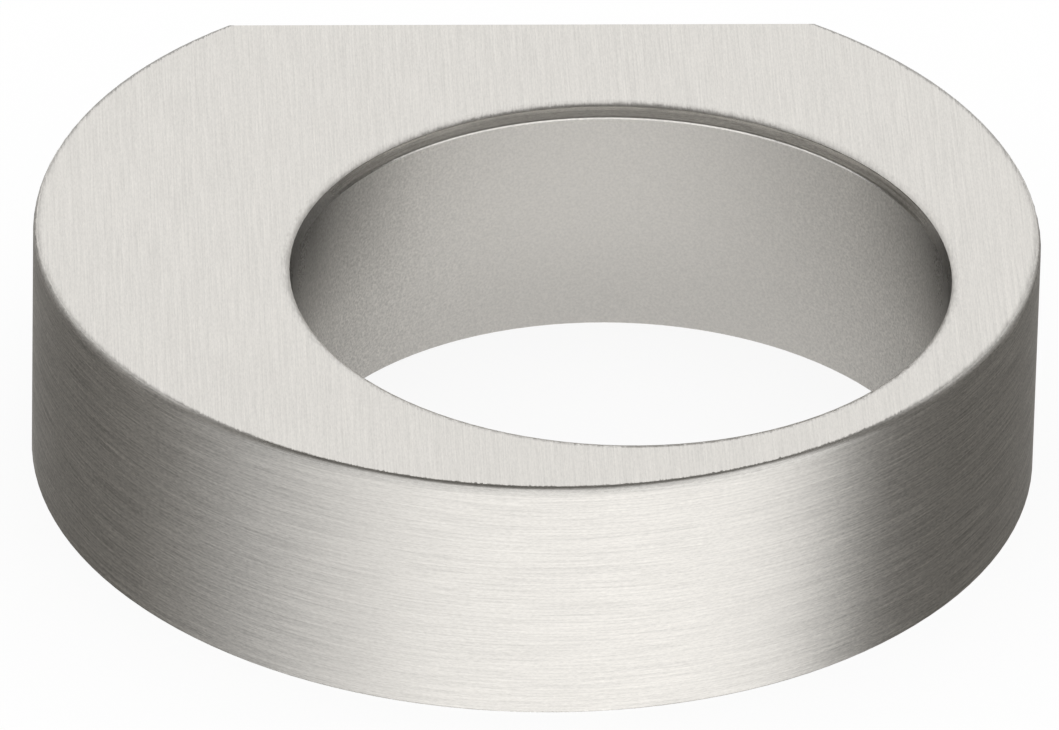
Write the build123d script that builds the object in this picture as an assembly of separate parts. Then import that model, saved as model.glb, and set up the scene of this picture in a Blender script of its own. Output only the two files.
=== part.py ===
from build123d import *
from math import cos, radians, sin, sqrt, tan
import os

# The knob is one casting: a disc with one straight side that lies against the cabinet front,
# and a large finger hole off its centre. The origin is the centre of the straight side, on the
# screw's axis. Y points into the cabinet front, Z up through the disc. Lengths are in mm.

# Disc. Its top face is brushed flat, which leaves a crisp line where it cuts the edge's round.
disc_radius = 21.0
height = 10.8
flat_cut = 4.2
edge_round = 0.65
edge_drop = 0.45
edge_break = 0.1

# Finger hole: its mouth's edge is rolled over by the brushing. A short land lies under it, then a
# fine sloped step at the casting's parting line, and below that the wall. Land and wall are
# drafted away from the parting line. The hole lies so far towards the front right that only a
# thin rim is left there.
finger_hole_radius = 13.75
mouth_round = 0.7
mouth_width = 0.35
land_draft = 10.0
parting_depth = 0.55
step_width = 0.05
step_height = 0.09
wall_draft = 0.6
rim_width = 2.28
rim_angle = 48.35

# Screw hole: blind, in the middle of the straight side, open to the thread's outer diameter.
# The tap drill's smaller hole goes on past the thread's end.
screw_diameter = 4.0
tap_drill_diameter = 3.3
drill_point_angle = 118.0
thread_runout = 0.8
countersink = 0.3
wall_behind_screw = 1.0

# Levels of the section, and how far the rounded edges draw the top face in
top = height / 2
bottom = -height / 2
lower_edge = bottom + edge_break
edge_inset = edge_round - sqrt(edge_round**2 - edge_drop**2)
mouth_drop = mouth_round - sqrt(mouth_round**2 - mouth_width**2)
parting_line = top - parting_depth
wall_top = parting_line - step_height

# Finger hole's wall and place, which leave the thin rim at its widest end
draft_slope = tan(radians(wall_draft))
land_bottom_radius = finger_hole_radius - (parting_depth - mouth_drop) * tan(radians(land_draft))
wall_top_radius = land_bottom_radius - step_width
wall_bottom_radius = wall_top_radius + (wall_top - lower_edge) * draft_slope
finger_hole_shift = disc_radius - rim_width - wall_bottom_radius
finger_hole_right = finger_hole_shift * cos(radians(rim_angle))
finger_hole_forward = finger_hole_shift * sin(radians(rim_angle))

# Screw hole's depth, which stops short of the finger hole's wall on the screw's axis
flat_distance = disc_radius - flat_cut
screw_radius = screw_diameter / 2
tap_drill_radius = tap_drill_diameter / 2
drill_point_height = tap_drill_radius / tan(radians(drill_point_angle / 2))
wall_screw_radius = wall_top_radius + wall_top * draft_slope
wall_reach = sqrt(wall_screw_radius**2 - finger_hole_right**2) - finger_hole_forward
screw_tip = flat_distance - wall_reach - wall_behind_screw
drilled_depth = screw_tip - drill_point_height
thread_depth = drilled_depth - thread_runout

# The full disc, turned about its own axis
with BuildPart() as disc:
    with BuildSketch(Plane.XZ):
        with BuildLine():
            Polyline(
                (disc_radius - edge_inset, top),
                (0, top),
                (0, bottom),
                (disc_radius, bottom),
                (disc_radius, top - edge_drop),
            )
            RadiusArc(
                (disc_radius - edge_inset, top),
                (disc_radius, top - edge_drop),
                edge_round,
            )
        make_face()
    revolve(axis=Axis.Z)

# The room taken by the finger hole, turned about the hole's axis
with BuildPart() as finger_room:
    with BuildSketch(Plane.XZ):
        with BuildLine():
            Polyline(
                (finger_hole_radius + mouth_width, top),
                (0, top),
                (0, bottom),
                (wall_bottom_radius + edge_break, bottom),
                (wall_bottom_radius, lower_edge),
                (wall_top_radius, wall_top),
                (land_bottom_radius, parting_line),
                (finger_hole_radius, top - mouth_drop),
            )
            RadiusArc(
                (finger_hole_radius, top - mouth_drop),
                (finger_hole_radius + mouth_width, top),
                mouth_round,
            )
        make_face()
    revolve(axis=Axis.Z)

# The room taken by the screw hole, drawn along its axis from the mouth inwards
with BuildPart() as screw_room:
    with BuildSketch(Plane.XY):
        with BuildLine():
            Polyline(
                (0, 0),
                (screw_radius + countersink, 0),
                (screw_radius, -countersink),
                (screw_radius, -thread_depth),
                (tap_drill_radius, -thread_depth),
                (tap_drill_radius, -drilled_depth),
                (0, -screw_tip),
                close=True,
            )
        make_face()
    revolve(axis=Axis.Y)

# The straight side is cut across the disc. It and the underside have crisp edges.
disc_axis = Pos(0, -flat_distance, 0)
finger_hole_axis = disc_axis * Pos(finger_hole_right, -finger_hole_forward, 0)
knob = split(disc_axis * disc.part, bisect_by=Plane.XZ, keep=Keep.TOP)
straight_side = knob.faces().sort_by(Axis.Y)[-1]
underside = knob.faces().sort_by(Axis.Z)[0]
knob = chamfer(set(straight_side.edges() + underside.edges()), edge_break)
knob = knob - finger_hole_axis * finger_room.part - screw_room.part
knob.label = "knob"

os.makedirs("parts", exist_ok=True)
export_step(knob, "parts/knob.step")
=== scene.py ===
from math import asin, atan2, cos, degrees, pi, radians, sin

import bpy
from mathutils import Matrix, Vector


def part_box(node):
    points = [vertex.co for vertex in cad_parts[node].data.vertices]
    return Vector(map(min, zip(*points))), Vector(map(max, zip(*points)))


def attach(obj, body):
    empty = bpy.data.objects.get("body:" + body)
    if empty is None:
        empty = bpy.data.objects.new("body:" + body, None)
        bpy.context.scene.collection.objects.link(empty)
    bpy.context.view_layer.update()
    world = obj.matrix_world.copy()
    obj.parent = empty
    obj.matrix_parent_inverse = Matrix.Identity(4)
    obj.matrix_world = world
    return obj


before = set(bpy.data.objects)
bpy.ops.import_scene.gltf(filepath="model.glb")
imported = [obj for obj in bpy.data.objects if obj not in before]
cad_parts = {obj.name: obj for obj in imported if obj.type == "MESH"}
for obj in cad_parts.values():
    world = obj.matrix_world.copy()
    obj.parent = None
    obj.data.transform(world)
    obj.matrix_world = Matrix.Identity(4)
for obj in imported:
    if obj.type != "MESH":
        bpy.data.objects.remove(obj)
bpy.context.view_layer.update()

# Sizes of the knob, in metres. The origin is the centre of its straight side.
mm = 0.001
low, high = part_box("knob")
disc_radius = (high.x - low.x) / 2
disc_axis = Vector((0, low.y + disc_radius, 0))
finger_hole_right = 3.32 * mm
finger_hole_forward = 3.732 * mm
finger_hole_axis = disc_axis + Vector((finger_hole_right, -finger_hole_forward, 0))
finger_hole_radius = 13.75 * mm
screw_radius = 2.0 * mm
thread_crest_radius = 1.65 * mm
thread_pitch = 0.7 * mm
thread_start = -0.3 * mm
thread_end = -4.45 * mm

# Levels and small sizes of the edges, in millimetres. The step between the finger hole's land and
# its wall is shaded where its bright line shows, a little under the solid's own step.
top_mm = high.z / mm
parting_line_mm = top_mm - 0.605
wall_top_mm = top_mm - 0.67
face_margin = 0.003
edge_round = 0.65
edge_drop = 0.45
edge_inset = 0.19
edge_break = 0.1
mouth_round = 0.7
mouth_width = 0.35
mouth_drop = 0.094
mouth_margin = 0.01

# Slopes of the edges. A lift is the sine of a normal's slope over the level.
land_lift = sin(radians(10))
step_lift = sin(radians(22))
edge_lift = edge_drop / edge_round
mouth_lift = 1 - mouth_drop / mouth_round
worn_edge_lift = 0.97
worn_mouth_lift = 0.65

# The back of the finger hole, a little to the right, is its lit side
lit_side = (sin(radians(6)), cos(radians(6)), 0)

# Colours of the metal and of the dim room that it mirrors
nickel = (0.71, 0.69, 0.655)
room_colour = (1.0, 0.96, 0.9)
white = (1.0, 1.0, 1.0)

# Studio: the floor's glow and paint add up to white. The gap keeps it clear of the underside.
floor_glow = 0.88
floor_paint = 0.12
floor_gap = 0.005 * mm
floor_half = 4.0
room_glow = 0.15
softbox_glow = 0.97
softbox_elevation = radians(40)

# The photograph's camera, a long lens a little turned and rolled
image_width = 1059
pixels_per_radius = 504.1
camera_distance = 35 * disc_radius
camera_elevation = radians(31.1)
camera_turn = radians(-2.93)
camera_roll = radians(1.315)
aim_right = -0.326 * mm
aim_up = -5.825 * mm
sensor_width = 36.0


def add_node(tree, kind, inputs=None, **settings):
    """A shader node with its settings made and its inputs set or linked."""
    made = tree.nodes.new(kind)
    for name, value in settings.items():
        setattr(made, name, value)
    for key, value in (inputs or {}).items():
        if isinstance(value, bpy.types.NodeSocket):
            tree.links.new(value, made.inputs[key])
        else:
            made.inputs[key].default_value = value
    return made


def calc(tree, operation, *values):
    node = add_node(tree, "ShaderNodeMath", dict(enumerate(values)), operation=operation)
    return node.outputs[0]


def vector_calc(tree, operation, *values):
    node = add_node(tree, "ShaderNodeVectorMath", dict(enumerate(values)), operation=operation)
    return node.outputs["Value" if operation in ("LENGTH", "DOT_PRODUCT") else "Vector"]


def product(tree, *factors):
    """Factors multiplied. For masks of 0 and 1 it says where all of them hold."""
    result = factors[0]
    for factor in factors[1:]:
        result = calc(tree, "MULTIPLY", result, factor)
    return result


def ramp(tree, value, start, end, low_value, high_value):
    """value's stretch from start to end, spread over low_value to high_value and held there."""
    inputs = {
        "Value": value,
        "From Min": start,
        "From Max": end,
        "To Min": low_value,
        "To Max": high_value,
    }
    return add_node(tree, "ShaderNodeMapRange", inputs).outputs["Result"]


def spread(tree, grain, low_value, high_value):
    """A noise's usual values spread over low_value to high_value."""
    return ramp(tree, grain, 0.3, 0.7, low_value, high_value)


def noise(tree, place, scale=1.0, detail=3.0, roughness=0.6):
    inputs = {"Vector": place, "Scale": scale, "Detail": detail, "Roughness": roughness}
    return add_node(tree, "ShaderNodeTexNoise", inputs).outputs["Fac"]


def mix_values(tree, share, first, second):
    return add_node(tree, "ShaderNodeMix", {0: share, 2: first, 3: second}).outputs[0]


def mix_vectors(tree, share, first, second):
    inputs = {0: share, 4: first, 5: second}
    return add_node(tree, "ShaderNodeMix", inputs, data_type="VECTOR").outputs[1]


def new_material(name):
    material = bpy.data.materials.new(name)
    material.use_nodes = True
    material.node_tree.nodes.clear()
    return material, material.node_tree


def set_surface(tree, shader):
    output = tree.nodes.new("ShaderNodeOutputMaterial")
    tree.links.new(shader.outputs[0], output.inputs["Surface"])


def object_place(tree):
    return tree.nodes.new("ShaderNodeTexCoord").outputs["Object"]


def away_from(tree, place, axis):
    """The level direction away from an upright axis, and the distance from it."""
    level = vector_calc(tree, "MULTIPLY", place, (1, 1, 0))
    offset = vector_calc(tree, "SUBTRACT", level, axis / mm)
    return vector_calc(tree, "NORMALIZE", offset), vector_calc(tree, "LENGTH", offset)


def along_brushing(tree, place):
    """How far the disc's edge runs along the brush lines: none at the front, all at the sides."""
    outward, _ = away_from(tree, place, disc_axis)
    across = add_node(tree, "ShaderNodeSeparateXYZ", {0: outward}).outputs["X"]
    return ramp(tree, calc(tree, "ABSOLUTE", across), 0.4, 0.8, 0.0, 1.0)


def lean_up(tree, level, lift):
    """A level direction leaned upwards, where lift is the sine of its slope."""
    share = calc(tree, "SQRT", calc(tree, "SUBTRACT", 1.0, calc(tree, "MULTIPLY", lift, lift)))
    upright = add_node(tree, "ShaderNodeCombineXYZ", {"Z": lift}).outputs[0]
    return vector_calc(tree, "ADD", vector_calc(tree, "MULTIPLY", level, share), upright)


def nickel_colour(tree, grain, contrast, tone=1.0):
    """The metal's colour, a little darker and lighter with the grain."""
    sway = calc(tree, "MULTIPLY_ADD", spread(tree, grain, -1.0, 1.0), contrast, 1.0)
    toned = calc(tree, "MINIMUM", calc(tree, "MULTIPLY", sway, tone), 1 / max(nickel))
    return vector_calc(tree, "MULTIPLY", toned, nickel)


def side_normal(tree, place, height, normal):
    """The normal of the disc's side and its rounded edge, which the mesh only comes near. The
    brushing wore the edge rounder where its lines run along it."""
    depth = add_node(tree, "ShaderNodeSeparateXYZ", {0: place}).outputs["Y"]
    outward, from_disc_axis = away_from(tree, place, disc_axis)
    on_side = product(
        tree,
        calc(tree, "GREATER_THAN", from_disc_axis, disc_radius / mm - edge_inset),
        calc(tree, "LESS_THAN", depth, -edge_break),
        calc(tree, "GREATER_THAN", height, edge_break - top_mm),
        calc(tree, "LESS_THAN", height, top_mm - face_margin),
    )
    top_lift = mix_values(tree, along_brushing(tree, place), edge_lift, worn_edge_lift)
    lift = ramp(tree, height, top_mm - edge_drop, top_mm, 0.0, top_lift)
    return mix_vectors(tree, on_side, normal, lean_up(tree, outward, lift))


def hole_normal(tree, place, height, from_hole, at_back):
    """The normal in the finger hole. The brushing frayed the rolled mouth, which leans most at the
    hole's two ends. The land and the step under it are worn to face the front and the back, and
    the step shows at the back only. The wall is upright."""
    inward = vector_calc(tree, "MULTIPLY", from_hole, (-1, -1, 0))
    worn = vector_calc(tree, "NORMALIZE", vector_calc(tree, "MULTIPLY", inward, (1, 2.5, 0)))
    on_mouth = calc(tree, "GREATER_THAN", height, top_mm - mouth_drop)
    on_land = calc(tree, "GREATER_THAN", height, parting_line_mm)
    on_wall = calc(tree, "LESS_THAN", height, wall_top_mm)

    at_ends = ramp(tree, calc(tree, "ABSOLUTE", at_back), 0.0, 0.6, 1.0, 0.0)
    foot_lift = mix_values(tree, at_ends, mouth_lift, worn_mouth_lift)
    bristles = noise(tree, vector_calc(tree, "MULTIPLY", place, (18, 4, 4)))
    frayed = calc(tree, "ADD", height, spread(tree, bristles, -0.03, 0.01))
    rolled_lift = ramp(tree, frayed, top_mm - mouth_drop, top_mm, foot_lift, 1.0)
    below_land_lift = ramp(tree, at_back, 0.45, 0.85, land_lift, step_lift)
    lift = mix_values(tree, on_land, below_land_lift, land_lift)
    lift = mix_values(tree, on_mouth, lift, rolled_lift)
    lift = mix_values(tree, on_wall, lift, 0.0)
    facing = mix_vectors(tree, calc(tree, "MAXIMUM", on_mouth, on_wall), worn, inward)
    return lean_up(tree, facing, lift)


def worn_top(tree, place, height, grain, normal):
    """The top face's normal, leaning over towards the disc's edge. The brushing wore the edge most
    where its lines run along it."""
    outward, from_disc_axis = away_from(tree, place, disc_axis)
    width = ramp(tree, along_brushing(tree, place), 0.0, 1.0, 0.05, 0.25)
    to_edge = calc(tree, "SUBTRACT", disc_radius / mm - edge_inset, from_disc_axis)
    frayed = calc(tree, "ADD", to_edge, spread(tree, grain, -0.08, 0.08))
    on_top = calc(tree, "GREATER_THAN", height, top_mm - face_margin)
    lean = product(tree, on_top, ramp(tree, frayed, 0.0, width, 0.6, 0.0))
    leaning = vector_calc(tree, "ADD", normal, vector_calc(tree, "MULTIPLY", outward, lean))
    return vector_calc(tree, "NORMALIZE", leaning)


def land_painted_light(tree, place, height, at_back):
    """Painted light on the land under the mouth: a painted dark shade line along each border, and
    under the upper one a painted highlight streak that comes and goes. The step below it has a
    painted highlight, brighter towards the lit back and darker away from it."""
    depth = calc(tree, "SUBTRACT", top_mm, height)
    # Painted shade: dark lines along the land's upper and lower borders
    painted_upper_line = ramp(tree, depth, 0.1, 0.13, 0.68, 1.0)
    painted_lower_line = ramp(tree, depth, 0.52, 0.56, 1.0, 0.7)
    # Painted highlight: a light streak under the upper border that comes and goes
    strength = ramp(tree, noise(tree, place, 0.35, 2.0, 0.5), 0.35, 0.6, 0.1, 0.6)
    upper_border = ramp(tree, depth, 0.12, 0.16, 0.0, 1.0)
    lower_border = ramp(tree, depth, 0.18, 0.32, 1.0, 0.0)
    painted_streak = calc(tree, "ADD", product(tree, strength, upper_border, lower_border), 1.0)
    land = product(tree, painted_upper_line, painted_lower_line, painted_streak)
    # Painted highlight on the step, brighter towards the lit back
    on_step = calc(tree, "LESS_THAN", height, parting_line_mm)
    return mix_values(tree, on_step, land, ramp(tree, at_back, 0.5, 0.95, 0.8, 1.25))


def brushed_metal(tree, place, height, in_hole, tone, normal):
    """Brush lines along Y on the flat faces and level round the edge, where they show most at the
    sides. Reflections spread across the lines. The finger hole's land is burnished, and so is the
    edge round the top face where the lines cross it."""
    flat = calc(tree, "GREATER_THAN", calc(tree, "ABSOLUTE", height), top_mm - face_margin)
    on_mouth = product(tree, in_hole, calc(tree, "GREATER_THAN", height, top_mm - mouth_drop))
    on_face = calc(tree, "MAXIMUM", flat, on_mouth)
    off_face = calc(tree, "SUBTRACT", 1.0, on_face)
    across = mix_vectors(tree, on_face, (0, 0, 1), (1, 0, 0))
    long_stretch = mix_vectors(tree, on_face, (0.3, 0.3, 13), (14, 0.25, 0.25))
    short_stretch = mix_vectors(tree, on_face, (5, 5, 18), (18, 4, 4))
    long_lines = noise(tree, vector_calc(tree, "MULTIPLY", place, long_stretch))
    short_lines = noise(tree, vector_calc(tree, "MULTIPLY", place, short_stretch), detail=2.0)
    grain = mix_values(tree, 0.45, long_lines, short_lines)
    at_sides = along_brushing(tree, place)
    contrast = mix_values(tree, on_face, mix_values(tree, at_sides, 0.23, 0.42), 0.16)

    near_top = ramp(tree, height, top_mm - 0.35, top_mm - 0.15, 0.0, 1.0)
    outer_edge = product(tree, near_top, calc(tree, "SUBTRACT", 1.0, at_sides))
    burnished = product(tree, calc(tree, "MAXIMUM", outer_edge, in_hole), off_face)
    leaning = worn_top(tree, place, height, grain, normal)
    bump_inputs = {"Strength": 0.15, "Distance": 0.02 * mm, "Height": grain, "Normal": leaning}
    # The colour takes the tone, which holds painted shade and the land's painted lines and
    # highlights
    inputs = {
        "Base Color": nickel_colour(tree, grain, contrast, tone),
        "Metallic": 1.0,
        "Roughness": mix_values(tree, burnished, spread(tree, grain, 0.39, 0.49), 0.15),
        "Anisotropic": 0.8,
        "Tangent": across,
        "Normal": add_node(tree, "ShaderNodeBump", bump_inputs).outputs["Normal"],
    }
    return add_node(tree, "ShaderNodeBsdfPrincipled", inputs)


def cast_metal(tree, place, at_back, tone, normal):
    """The finger hole's wall, left as it was cast and blasted. Its grain shows most at the ends."""
    sand = noise(tree, place, 9.0)
    contrast = ramp(tree, at_back, 0.55, 0.95, 0.23, 0.11)
    bump_inputs = {"Strength": 0.2, "Distance": 0.02 * mm, "Height": sand, "Normal": normal}
    # The colour takes the tone, which holds painted shade under the mouth at the hole's two ends
    inputs = {
        "Base Color": nickel_colour(tree, sand, contrast, calc(tree, "MULTIPLY", tone, 0.95)),
        "Metallic": 1.0,
        "Roughness": spread(tree, sand, 0.57, 0.65),
        "Specular Tint": (0.05, 0.05, 0.05, 1.0),
        "Normal": add_node(tree, "ShaderNodeBump", bump_inputs).outputs["Normal"],
    }
    return add_node(tree, "ShaderNodeBsdfPrincipled", inputs)


def brushed_nickel():
    """Brushed nickel all over but for the cast wall of the finger hole. At the hole's two ends the
    casting reaches up to the mouth, and there the colour under the mouth holds painted shade,
    darkest towards the top."""
    material, tree = new_material("brushed_nickel")
    place = vector_calc(tree, "DIVIDE", object_place(tree), (mm, mm, mm))
    height = add_node(tree, "ShaderNodeSeparateXYZ", {0: place}).outputs["Z"]
    from_hole, from_hole_axis = away_from(tree, place, finger_hole_axis)
    at_back = vector_calc(tree, "DOT_PRODUCT", from_hole, lit_side)
    hole_reach = finger_hole_radius / mm + mouth_width + mouth_margin
    in_hole = calc(tree, "LESS_THAN", from_hole_axis, hole_reach)
    on_wall = calc(tree, "LESS_THAN", height, wall_top_mm)
    past_land = ramp(tree, at_back, 0.25, 0.5, 1.0, 0.0)
    below_mouth = calc(tree, "LESS_THAN", height, top_mm - mouth_drop)
    under_mouth = product(tree, in_hole, below_mouth)

    # Painted shade: under the mouth at the hole's two ends the colour is darkened, most towards the
    # top
    at_ends = ramp(tree, at_back, 0.3, 0.75, 1.0, 0.0)
    painted_shade_share = product(tree, under_mouth, at_ends, ramp(tree, height, -1.0, 5.0, 0.0, 1.0))
    painted_shade = calc(tree, "MULTIPLY_ADD", painted_shade_share, -0.62, 1.0)
    # The land's painted shade lines and painted highlights join the painted shade in the tone
    land = mix_values(tree, under_mouth, 1.0, land_painted_light(tree, place, height, at_back))
    tone = calc(tree, "MULTIPLY", painted_shade, land)

    normal = tree.nodes.new("ShaderNodeNewGeometry").outputs["Normal"]
    outside = side_normal(tree, place, height, normal)
    inside = hole_normal(tree, place, height, from_hole, at_back)
    normal = mix_vectors(tree, in_hole, outside, inside)
    inputs = {
        0: product(tree, under_mouth, calc(tree, "MAXIMUM", on_wall, past_land)),
        1: brushed_metal(tree, place, height, in_hole, tone, normal).outputs[0],
        2: cast_metal(tree, place, at_back, painted_shade, normal).outputs[0],
    }
    set_surface(tree, add_node(tree, "ShaderNodeMixShader", inputs))
    return material


def cut_thread_metal():
    """The thread's cut flanks, brighter and smoother than the plated faces."""
    material, tree = new_material("cut_thread")
    marks = noise(tree, object_place(tree), 4000.0, roughness=0.5)
    bump_inputs = {"Strength": 0.1, "Distance": 0.01 * mm, "Height": marks}
    inputs = {
        "Base Color": nickel_colour(tree, marks, 0.08),
        "Metallic": 1.0,
        "Roughness": spread(tree, marks, 0.25, 0.4),
        "Normal": add_node(tree, "ShaderNodeBump", bump_inputs).outputs["Normal"],
    }
    set_surface(tree, add_node(tree, "ShaderNodeBsdfPrincipled", inputs))
    return material


def mesh_object(name, points, faces, material):
    mesh = bpy.data.meshes.new(name)
    mesh.from_pydata(points, [], faces)
    mesh.materials.append(material)
    made = bpy.data.objects.new(name, mesh)
    bpy.context.scene.collection.objects.link(made)
    return made


def screw_thread():
    """The ridge of the thread, wound along the screw hole's wall."""
    steps_a_turn = 48
    turns = (thread_start - thread_end) / thread_pitch - 1
    count = int(turns * steps_a_turn)
    half_root, half_crest = 0.42 * thread_pitch, 0.08 * thread_pitch
    root_radius = screw_radius + 0.02 * mm
    section = [
        (root_radius, half_root),
        (thread_crest_radius, half_crest),
        (thread_crest_radius, -half_crest),
        (root_radius, -half_root),
    ]
    points, faces = [], []
    for step in range(count + 1):
        turn = 2 * pi * step / steps_a_turn
        middle = thread_start - thread_pitch * (0.5 + step / steps_a_turn)
        for radius, offset in section:
            points.append((radius * cos(turn), middle + offset, radius * sin(turn)))
    corners = len(section)
    for step in range(count):
        for corner in range(corners):
            after = (corner + 1) % corners
            first, second = step * corners, (step + 1) * corners
            faces.append((first + corner, first + after, second + after, second + corner))
    faces.append(tuple(range(corners)))
    faces.append(tuple(reversed(range(count * corners, (count + 1) * corners))))
    return mesh_object("screw_thread", points, faces, cut_thread_metal())


def seen_only_in_reflections(card):
    card.visible_camera = False
    card.visible_diffuse = False
    card.visible_transmission = False
    card.visible_volume_scatter = False
    card.visible_shadow = False


def light_card(name, points, faces, brightness):
    """A card or softbox that glows by the brightness given at each of its points. Where it is dim
    it has the room's colour."""
    material, tree = new_material(name)
    glow = add_node(tree, "ShaderNodeAttribute", attribute_name="brightness").outputs["Fac"]
    colour = mix_vectors(tree, ramp(tree, glow, 0.15, 0.5, 0.0, 1.0), room_colour, white)
    set_surface(tree, add_node(tree, "ShaderNodeEmission", {"Color": colour, "Strength": glow}))
    material.cycles.emission_sampling = "NONE"
    card = mesh_object(name, points, faces, material)
    layer = card.data.attributes.new("brightness", "FLOAT", "POINT")
    layer.data.foreach_set("value", brightness)
    seen_only_in_reflections(card)


def smooth(start, end, value):
    share = min(max((value - start) / (end - start), 0), 1)
    return share * share * (3 - 2 * share)


def studio_brightness(direction):
    """The studio seen from the knob: a white card low in front of it, a softbox behind and above
    it, and a dim room round them."""
    azimuth = degrees(atan2(direction.x, -direction.y))
    elevation = degrees(asin(max(-1, min(1, direction.z))))
    left = 0.22 * smooth(-118, -60, azimuth) + 0.78 * smooth(-92, -12, azimuth)
    right = smooth(79, 55, azimuth) * (1 + 0.05 * smooth(0, 24, azimuth))
    upright = 0.7 * smooth(40, 26, elevation) + 1.22 * smooth(30, -90, elevation)
    softbox_middle = Vector((0, cos(softbox_elevation), sin(softbox_elevation)))
    softbox = smooth(50, 30, degrees(direction.angle(softbox_middle)))
    return room_glow + left * right * upright + softbox_glow * softbox


def studio_dome():
    """A dome that the knob's metal mirrors."""
    radius, step = 1.0, 4
    columns, rows = 360 // step, 180 // step
    points, brightness, faces = [], [], []
    for row in range(rows + 1):
        for column in range(columns):
            elevation, azimuth = radians(row * step - 90), radians(column * step)
            level = cos(elevation)
            direction = Vector((sin(azimuth) * level, -cos(azimuth) * level, sin(elevation)))
            points.append(direction * radius)
            brightness.append(studio_brightness(direction))
    for row in range(rows):
        for column in range(columns):
            after = (column + 1) % columns
            first, second = row * columns, (row + 1) * columns
            faces.append((first + column, first + after, second + after, second + column))
    light_card("studio_dome", points, faces, brightness)


def wall_foot_card():
    """A card, seen only in reflections, for the floor along the foot of the finger hole's wall,
    which lies in the wall's own shade. That shade is painted into the card's glow, dimmer towards
    the front of the hole.
    """
    columns, inner_radius = 48, 8.5 * mm
    start, sweep = radians(-10), radians(200)
    middle = finger_hole_axis + Vector((0, 0, low.z))
    points, brightness, faces = [], [], []
    for column in range(columns + 1):
        angle = start + sweep * column / columns
        outwards = Vector((cos(angle), sin(angle), 0))
        points += [middle + outwards * inner_radius, middle + outwards * finger_hole_radius]
        at_back = smooth(0, 1, outwards.y)
        # Painted shade of the floor: the glow is dimmer towards the front of the hole
        brightness += [0.62 + 0.28 * at_back, 0.55 + 0.33 * at_back]
    for column in range(columns):
        first = 2 * column
        faces.append((first, first + 1, first + 3, first + 2))
    light_card("wall_foot", points, faces, brightness)


def floor():
    """A white floor that shows the knob's soft shadow and isn't mirrored in its sides. From below
    it is clear, so that the underside can be looked at."""
    material, tree = new_material("floor_white")
    seen = tree.nodes.new("ShaderNodeLightPath").outputs["Is Camera Ray"]
    strength = calc(tree, "MULTIPLY", seen, floor_glow)
    glow = add_node(tree, "ShaderNodeEmission", {"Strength": strength})
    paint = add_node(tree, "ShaderNodeBsdfDiffuse", {"Color": (floor_paint,) * 3 + (1.0,)})
    upper = add_node(tree, "ShaderNodeAddShader", {0: glow.outputs[0], 1: paint.outputs[0]})
    clear = tree.nodes.new("ShaderNodeBsdfTransparent")
    from_below = tree.nodes.new("ShaderNodeNewGeometry").outputs["Backfacing"]
    sides = {0: from_below, 1: upper.outputs[0], 2: clear.outputs[0]}
    set_surface(tree, add_node(tree, "ShaderNodeMixShader", sides))
    corners = [(-1, -1), (1, -1), (1, 1), (-1, 1)]
    points = [(x * floor_half, y * floor_half, low.z - floor_gap) for x, y in corners]
    ground = mesh_object("floor", points, [(0, 1, 2, 3)], material)
    ground.visible_glossy = False
    ground.visible_shadow = False


def world_light():
    world = bpy.data.worlds.new("studio_world")
    world.use_nodes = True
    background = world.node_tree.nodes["Background"]
    background.inputs["Color"].default_value = (*white, 1.0)
    background.inputs["Strength"].default_value = 1.0
    bpy.context.scene.world = world


def photo_camera():
    turned = Matrix.Rotation(camera_turn, 3, "Z")
    forward = turned @ Vector((0, cos(camera_elevation), -sin(camera_elevation)))
    level_right = turned @ Vector((1, 0, 0))
    level_up = level_right.cross(forward)
    right = cos(camera_roll) * level_right + sin(camera_roll) * level_up
    up = right.cross(forward)
    top_centre = disc_axis + Vector((0, 0, high.z))
    aim = top_centre + right * aim_right + up * aim_up
    place = aim - forward * camera_distance
    data = bpy.data.cameras.new("photo_camera")
    data.sensor_width = sensor_width
    data.lens = pixels_per_radius * camera_distance / disc_radius / image_width * sensor_width
    data.clip_end = 10.0
    camera = bpy.data.objects.new("photo_camera", data)
    bpy.context.scene.collection.objects.link(camera)
    axes = Matrix((right, up, -forward)).transposed().to_4x4()
    camera.matrix_world = Matrix.Translation(place) @ axes
    bpy.context.scene.camera = camera


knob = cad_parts["knob"]
knob.material_slots[0].material = brushed_nickel()

thread = screw_thread()
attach(thread, "root")

floor()
studio_dome()
wall_foot_card()
world_light()
photo_camera()
bpy.context.scene.view_settings.view_transform = "Standard"
